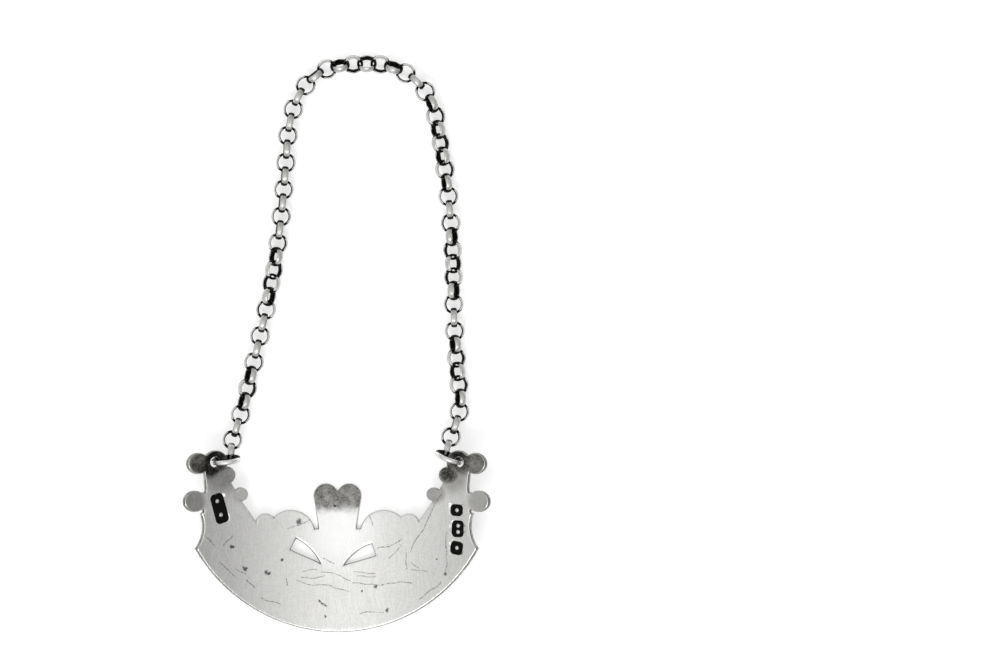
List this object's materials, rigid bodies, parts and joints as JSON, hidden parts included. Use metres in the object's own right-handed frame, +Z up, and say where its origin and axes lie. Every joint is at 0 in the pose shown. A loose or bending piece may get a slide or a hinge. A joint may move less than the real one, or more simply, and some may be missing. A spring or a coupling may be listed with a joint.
{
  "type": "silver wine label",
  "caption": "Bent crescent bottle label with lobed ends, a heart crest and two leaf piercings, hung on a round-link neck chain from jump rings.",
  "frame": {"origin": "middle of the object's box, on the table that it lies on", "axes": "+X to the right in the picture, +Y from the plate to the top of the chain's loop, +Z up from the table, out of the plate's hollow back"},
  "size_m": [0.0548, 0.1026, 0.0099],
  "materials": {
    "plate_silver": "worn, tarnished in the corners",
    "ring_silver": "worn",
    "chain_silver": "worn outside, oxidised inside"
  },
  "bodies": {
    "label_plate": {"label_plate": "plate_silver"},
    "left_ring": {"left_ring": "ring_silver"},
    "right_ring": {"right_ring": "ring_silver"},
    "chain_crown": {"chain_crown": "chain_silver", "left_link_28": "chain_silver", "right_link_28": "chain_silver"},
    "left_link_01": {"left_link_01": "chain_silver"},
    "left_link_02": {"left_link_02": "chain_silver"},
    "left_link_03": {"left_link_03": "chain_silver"},
    "left_link_04": {"left_link_04": "chain_silver"},
    "left_link_05": {"left_link_05": "chain_silver"},
    "left_link_06": {"left_link_06": "chain_silver"},
    "left_link_07": {"left_link_07": "chain_silver"},
    "left_link_08": {"left_link_08": "chain_silver"},
    "left_link_09": {"left_link_09": "chain_silver"},
    "left_link_10": {"left_link_10": "chain_silver"},
    "left_link_11": {"left_link_11": "chain_silver"},
    "left_link_12": {"left_link_12": "chain_silver"},
    "left_link_13": {"left_link_13": "chain_silver"},
    "left_link_14": {"left_link_14": "chain_silver"},
    "left_link_15": {"left_link_15": "chain_silver"},
    "left_link_16": {"left_link_16": "chain_silver"},
    "left_link_17": {"left_link_17": "chain_silver"},
    "left_link_18": {"left_link_18": "chain_silver"},
    "left_link_19": {"left_link_19": "chain_silver"},
    "left_link_20": {"left_link_20": "chain_silver"},
    "left_link_21": {"left_link_21": "chain_silver"},
    "left_link_22": {"left_link_22": "chain_silver"},
    "left_link_23": {"left_link_23": "chain_silver"},
    "left_link_24": {"left_link_24": "chain_silver"},
    "left_link_25": {"left_link_25": "chain_silver"},
    "left_link_26": {"left_link_26": "chain_silver"},
    "left_link_27": {"left_link_27": "chain_silver"},
    "right_link_01": {"right_link_01": "chain_silver"},
    "right_link_02": {"right_link_02": "chain_silver"},
    "right_link_03": {"right_link_03": "chain_silver"},
    "right_link_04": {"right_link_04": "chain_silver"},
    "right_link_05": {"right_link_05": "chain_silver"},
    "right_link_06": {"right_link_06": "chain_silver"},
    "right_link_07": {"right_link_07": "chain_silver"},
    "right_link_08": {"right_link_08": "chain_silver"},
    "right_link_09": {"right_link_09": "chain_silver"},
    "right_link_10": {"right_link_10": "chain_silver"},
    "right_link_11": {"right_link_11": "chain_silver"},
    "right_link_12": {"right_link_12": "chain_silver"},
    "right_link_13": {"right_link_13": "chain_silver"},
    "right_link_14": {"right_link_14": "chain_silver"},
    "right_link_15": {"right_link_15": "chain_silver"},
    "right_link_16": {"right_link_16": "chain_silver"},
    "right_link_17": {"right_link_17": "chain_silver"},
    "right_link_18": {"right_link_18": "chain_silver"},
    "right_link_19": {"right_link_19": "chain_silver"},
    "right_link_20": {"right_link_20": "chain_silver"},
    "right_link_21": {"right_link_21": "chain_silver"},
    "right_link_22": {"right_link_22": "chain_silver"},
    "right_link_23": {"right_link_23": "chain_silver"},
    "right_link_24": {"right_link_24": "chain_silver"},
    "right_link_25": {"right_link_25": "chain_silver"},
    "right_link_26": {"right_link_26": "chain_silver"},
    "right_link_27": {"right_link_27": "chain_silver"}
  },
  "joints": [
    {"name": "arm_ring_swing", "type": "hinge", "parent": "label_plate", "child": "left_ring", "pos_m": [-0.0218, -0.02101, 0.00606], "axis": [1, 0, 0], "range_deg": [-12, 8]},
    {"name": "arm_ring_swing_right", "type": "hinge", "parent": "label_plate", "child": "right_ring", "pos_m": [0.0218, -0.02101, 0.00606], "axis": [1, 0, 0], "range_deg": [-12, 8]},
    {"name": "fold_01", "type": "hinge", "parent": "left_ring", "child": "left_link_01", "pos_m": [-0.01884, -0.02013, 0.00357], "axis": [0.9999, 0.0172, -0.0013], "range_deg": [-8, 8]},
    {"name": "fold_01_right", "type": "hinge", "parent": "right_ring", "child": "right_link_01", "pos_m": [0.01926, -0.01947, 0.00352], "axis": [0.9999, 0.0172, -0.0013], "range_deg": [-8, 8]},
    {"name": "fold_02", "type": "hinge", "parent": "left_link_01", "child": "left_link_02", "pos_m": [-0.01886, -0.01937, 0.00357], "axis": [0.9999, 0.0166, -0.0014], "range_deg": [-8, 8]},
    {"name": "fold_02_right", "type": "hinge", "parent": "right_link_01", "child": "right_link_02", "pos_m": [0.01948, -0.01874, 0.00352], "axis": [0.9999, 0.0166, -0.0014], "range_deg": [-8, 8]},
    {"name": "fold_03", "type": "hinge", "parent": "left_link_02", "child": "left_link_03", "pos_m": [-0.01792, -0.0149, 0.00226], "axis": [0.9999, 0.0125, -0.0002], "range_deg": [-8, 8]},
    {"name": "fold_03_right", "type": "hinge", "parent": "right_link_02", "child": "right_link_03", "pos_m": [0.02099, -0.01442, 0.00225], "axis": [0.9999, 0.0125, -0.0002], "range_deg": [-8, 8]},
    {"name": "fold_04", "type": "hinge", "parent": "left_link_03", "child": "left_link_04", "pos_m": [-0.01789, -0.01479, 0.00224], "axis": [0.9999, 0.011, -0.0001], "range_deg": [-8, 8]},
    {"name": "fold_04_right", "type": "hinge", "parent": "right_link_03", "child": "right_link_04", "pos_m": [0.02101, -0.01436, 0.00224], "axis": [0.9999, 0.011, -0.0001], "range_deg": [-8, 8]},
    {"name": "fold_05", "type": "hinge", "parent": "left_link_04", "child": "left_link_05", "pos_m": [-0.01664, -0.01042, 0.00183], "axis": [0.9999, 0.0173, -0.0001], "range_deg": [-8, 8]},
    {"name": "fold_05_right", "type": "hinge", "parent": "right_link_04", "child": "right_link_05", "pos_m": [0.02185, -0.00976, 0.00182], "axis": [0.9999, 0.0173, -0.0001], "range_deg": [-8, 8]},
    {"name": "fold_06", "type": "hinge", "parent": "left_link_05", "child": "left_link_06", "pos_m": [-0.01645, -0.0097, 0.00182], "axis": [0.9999, 0.012, 0], "range_deg": [-8, 8]},
    {"name": "fold_06_right", "type": "hinge", "parent": "right_link_05", "child": "right_link_06", "pos_m": [0.0218, -0.00924, 0.00182], "axis": [0.9999, 0.012, 0], "range_deg": [-8, 8]},
    {"name": "fold_07", "type": "hinge", "parent": "left_link_06", "child": "left_link_07", "pos_m": [-0.01559, -0.00624, 0.00182], "axis": [0.9999, 0.0168, 0], "range_deg": [-8, 8]},
    {"name": "fold_07_right", "type": "hinge", "parent": "right_link_06", "child": "right_link_07", "pos_m": [0.0214, -0.00562, 0.00182], "axis": [0.9999, 0.0168, 0], "range_deg": [-8, 8]},
    {"name": "fold_08", "type": "hinge", "parent": "left_link_07", "child": "left_link_08", "pos_m": [-0.01542, -0.00555, 0.00182], "axis": [0.9994, 0.0359, 0], "range_deg": [-8, 8]},
    {"name": "fold_08_right", "type": "hinge", "parent": "right_link_07", "child": "right_link_08", "pos_m": [0.02126, -0.00423, 0.00182], "axis": [0.9994, 0.0359, 0], "range_deg": [-8, 8]},
    {"name": "fold_09", "type": "hinge", "parent": "left_link_08", "child": "left_link_09", "pos_m": [-0.01434, -0.00106, 0.00182], "axis": [0.9999, 0.0105, 0], "range_deg": [-8, 8]},
    {"name": "fold_09_right", "type": "hinge", "parent": "right_link_08", "child": "right_link_09", "pos_m": [0.02098, -0.00069, 0.00182], "axis": [0.9999, 0.0105, 0], "range_deg": [-8, 8]},
    {"name": "fold_10", "type": "hinge", "parent": "left_link_09", "child": "left_link_10", "pos_m": [-0.01432, -0.00098, 0.00182], "axis": [0.9997, 0.0254, 0], "range_deg": [-8, 8]},
    {"name": "fold_10_right", "type": "hinge", "parent": "right_link_09", "child": "right_link_10", "pos_m": [0.02094, -0.00008, 0.00182], "axis": [0.9997, 0.0254, 0], "range_deg": [-8, 8]},
    {"name": "fold_11", "type": "hinge", "parent": "left_link_10", "child": "left_link_11", "pos_m": [-0.01321, 0.00369, 0.00182], "axis": [0.9997, 0.0256, 0], "range_deg": [-8, 8]},
    {"name": "fold_11_right", "type": "hinge", "parent": "right_link_10", "child": "right_link_11", "pos_m": [0.02072, 0.00456, 0.00182], "axis": [0.9997, 0.0256, 0], "range_deg": [-8, 8]},
    {"name": "fold_12", "type": "hinge", "parent": "left_link_11", "child": "left_link_12", "pos_m": [-0.01319, 0.00379, 0.00182], "axis": [0.9996, 0.0271, 0], "range_deg": [-8, 8]},
    {"name": "fold_12_right", "type": "hinge", "parent": "right_link_11", "child": "right_link_12", "pos_m": [0.02072, 0.00471, 0.00182], "axis": [0.9996, 0.0271, 0], "range_deg": [-8, 8]},
    {"name": "fold_13", "type": "hinge", "parent": "left_link_12", "child": "left_link_13", "pos_m": [-0.01221, 0.00827, 0.00182], "axis": [0.9995, 0.0328, 0], "range_deg": [-8, 8]},
    {"name": "fold_13_right", "type": "hinge", "parent": "right_link_12", "child": "right_link_13", "pos_m": [0.02066, 0.00934, 0.00182], "axis": [0.9995, 0.0328, 0], "range_deg": [-8, 8]},
    {"name": "fold_14", "type": "hinge", "parent": "left_link_13", "child": "left_link_14", "pos_m": [-0.01205, 0.00907, 0.00182], "axis": [0.9996, 0.0284, 0], "range_deg": [-8, 8]},
    {"name": "fold_14_right", "type": "hinge", "parent": "right_link_13", "child": "right_link_14", "pos_m": [0.02066, 0.01, 0.00182], "axis": [0.9996, 0.0284, 0], "range_deg": [-8, 8]},
    {"name": "fold_15", "type": "hinge", "parent": "left_link_14", "child": "left_link_15", "pos_m": [-0.0115, 0.01208, 0.00182], "axis": [0.9991, 0.0424, 0], "range_deg": [-8, 8]},
    {"name": "fold_15_right", "type": "hinge", "parent": "right_link_14", "child": "right_link_15", "pos_m": [0.02059, 0.01344, 0.00182], "axis": [0.9991, 0.0424, 0], "range_deg": [-8, 8]},
    {"name": "fold_16", "type": "hinge", "parent": "left_link_15", "child": "left_link_16", "pos_m": [-0.01109, 0.01459, 0.00182], "axis": [0.9999, 0.0137, 0], "range_deg": [-8, 8]},
    {"name": "fold_16_right", "type": "hinge", "parent": "right_link_15", "child": "right_link_16", "pos_m": [0.02054, 0.01502, 0.00182], "axis": [0.9999, 0.0137, 0], "range_deg": [-8, 8]},
    {"name": "fold_17", "type": "hinge", "parent": "left_link_16", "child": "left_link_17", "pos_m": [-0.01091, 0.01574, 0.00182], "axis": [0.9963, 0.0863, 0], "range_deg": [-8, 8]},
    {"name": "fold_17_right", "type": "hinge", "parent": "right_link_16", "child": "right_link_17", "pos_m": [0.02037, 0.01845, 0.00182], "axis": [0.9963, 0.0863, 0], "range_deg": [-8, 8]},
    {"name": "fold_18", "type": "hinge", "parent": "left_link_17", "child": "left_link_18", "pos_m": [-0.01033, 0.02002, 0.00182], "axis": [0.9996, -0.0296, 0], "range_deg": [-8, 8]},
    {"name": "fold_18_right", "type": "hinge", "parent": "right_link_17", "child": "right_link_18", "pos_m": [0.02033, 0.01911, 0.00182], "axis": [0.9996, -0.0296, 0], "range_deg": [-8, 8]},
    {"name": "fold_19", "type": "hinge", "parent": "left_link_18", "child": "left_link_19", "pos_m": [-0.0103, 0.02026, 0.00182], "axis": [0.9935, 0.1141, 0], "range_deg": [-8, 8]},
    {"name": "fold_19_right", "type": "hinge", "parent": "right_link_18", "child": "right_link_19", "pos_m": [0.01996, 0.02373, 0.00182], "axis": [0.9935, 0.1141, 0], "range_deg": [-8, 8]},
    {"name": "fold_20", "type": "hinge", "parent": "left_link_19", "child": "left_link_20", "pos_m": [-0.00979, 0.02497, 0.00182], "axis": [0.9993, -0.0377, 0], "range_deg": [-8, 8]},
    {"name": "fold_20_right", "type": "hinge", "parent": "right_link_19", "child": "right_link_20", "pos_m": [0.01995, 0.02385, 0.00182], "axis": [0.9993, -0.0377, 0], "range_deg": [-8, 8]},
    {"name": "fold_21", "type": "hinge", "parent": "left_link_20", "child": "left_link_21", "pos_m": [-0.00978, 0.02503, 0.00182], "axis": [0.9929, 0.1191, 0], "range_deg": [-8, 8]},
    {"name": "fold_21_right", "type": "hinge", "parent": "right_link_20", "child": "right_link_21", "pos_m": [0.01942, 0.02853, 0.00182], "axis": [0.9929, 0.1191, 0], "range_deg": [-8, 8]},
    {"name": "fold_22", "type": "hinge", "parent": "left_link_21", "child": "left_link_22", "pos_m": [-0.00938, 0.02976, 0.00182], "axis": [0.9996, -0.0285, 0], "range_deg": [-8, 8]},
    {"name": "fold_22_right", "type": "hinge", "parent": "right_link_21", "child": "right_link_22", "pos_m": [0.01936, 0.02894, 0.00182], "axis": [0.9996, -0.0285, 0], "range_deg": [-8, 8]},
    {"name": "fold_23", "type": "hinge", "parent": "left_link_22", "child": "left_link_23", "pos_m": [-0.00937, 0.02981, 0.00182], "axis": [0.9941, 0.1084, 0], "range_deg": [-8, 8]},
    {"name": "fold_23_right", "type": "hinge", "parent": "right_link_22", "child": "right_link_23", "pos_m": [0.01877, 0.03288, 0.00182], "axis": [0.9941, 0.1084, 0], "range_deg": [-8, 8]},
    {"name": "fold_24", "type": "hinge", "parent": "left_link_23", "child": "left_link_24", "pos_m": [-0.00901, 0.03454, 0.00182], "axis": [0.9999, -0.0129, 0], "range_deg": [-8, 8]},
    {"name": "fold_24_right", "type": "hinge", "parent": "right_link_23", "child": "right_link_24", "pos_m": [0.01856, 0.03419, 0.00182], "axis": [0.9999, -0.0129, 0], "range_deg": [-8, 8]},
    {"name": "fold_25", "type": "hinge", "parent": "left_link_24", "child": "left_link_25", "pos_m": [-0.00901, 0.03458, 0.00182], "axis": [0.9954, 0.096, 0], "range_deg": [-8, 8]},
    {"name": "fold_25_right", "type": "hinge", "parent": "right_link_24", "child": "right_link_25", "pos_m": [0.01804, 0.03719, 0.00182], "axis": [0.9954, 0.096, 0], "range_deg": [-8, 8]},
    {"name": "fold_26", "type": "hinge", "parent": "left_link_25", "child": "left_link_26", "pos_m": [-0.00844, 0.03932, 0.00182], "axis": [0.9995, -0.0317, 0], "range_deg": [-8, 8]},
    {"name": "fold_26_right", "type": "hinge", "parent": "right_link_25", "child": "right_link_26", "pos_m": [0.0178, 0.03849, 0.00182], "axis": [0.9995, -0.0317, 0], "range_deg": [-8, 8]},
    {"name": "fold_27", "type": "hinge", "parent": "left_link_26", "child": "left_link_27", "pos_m": [-0.00844, 0.03933, 0.00182], "axis": [0.9931, 0.1176, 0], "range_deg": [-8, 8]},
    {"name": "fold_27_right", "type": "hinge", "parent": "right_link_26", "child": "right_link_27", "pos_m": [0.01686, 0.04233, 0.00182], "axis": [0.9931, 0.1176, 0], "range_deg": [-8, 8]},
    {"name": "crown_swing", "type": "hinge", "parent": "left_link_27", "child": "chain_crown", "pos_m": [-0.00696, 0.04388, 0.00182], "axis": [0.9989, -0.0479, 0], "range_deg": [-8, 8]}
  ],
  "couplings": [
    {"joint": "arm_ring_swing_right", "follows": "arm_ring_swing", "ratio": 1},
    {"joint": "fold_01_right", "follows": "fold_01", "ratio": 1},
    {"joint": "fold_02_right", "follows": "fold_02", "ratio": 1},
    {"joint": "fold_03_right", "follows": "fold_03", "ratio": 1},
    {"joint": "fold_04_right", "follows": "fold_04", "ratio": 1},
    {"joint": "fold_05_right", "follows": "fold_05", "ratio": 1},
    {"joint": "fold_06_right", "follows": "fold_06", "ratio": 1},
    {"joint": "fold_07_right", "follows": "fold_07", "ratio": 1},
    {"joint": "fold_08_right", "follows": "fold_08", "ratio": 1},
    {"joint": "fold_09_right", "follows": "fold_09", "ratio": 1},
    {"joint": "fold_10_right", "follows": "fold_10", "ratio": 1},
    {"joint": "fold_11_right", "follows": "fold_11", "ratio": 1},
    {"joint": "fold_12_right", "follows": "fold_12", "ratio": 1},
    {"joint": "fold_13_right", "follows": "fold_13", "ratio": 1},
    {"joint": "fold_14_right", "follows": "fold_14", "ratio": 1},
    {"joint": "fold_15_right", "follows": "fold_15", "ratio": 1},
    {"joint": "fold_16_right", "follows": "fold_16", "ratio": 1},
    {"joint": "fold_17_right", "follows": "fold_17", "ratio": 1},
    {"joint": "fold_18_right", "follows": "fold_18", "ratio": 1},
    {"joint": "fold_19_right", "follows": "fold_19", "ratio": 1},
    {"joint": "fold_20_right", "follows": "fold_20", "ratio": 1},
    {"joint": "fold_21_right", "follows": "fold_21", "ratio": 1},
    {"joint": "fold_22_right", "follows": "fold_22", "ratio": 1},
    {"joint": "fold_23_right", "follows": "fold_23", "ratio": 1},
    {"joint": "fold_24_right", "follows": "fold_24", "ratio": 1},
    {"joint": "fold_25_right", "follows": "fold_25", "ratio": 1},
    {"joint": "fold_26_right", "follows": "fold_26", "ratio": 1},
    {"joint": "fold_27_right", "follows": "fold_27", "ratio": 1}
  ]
}
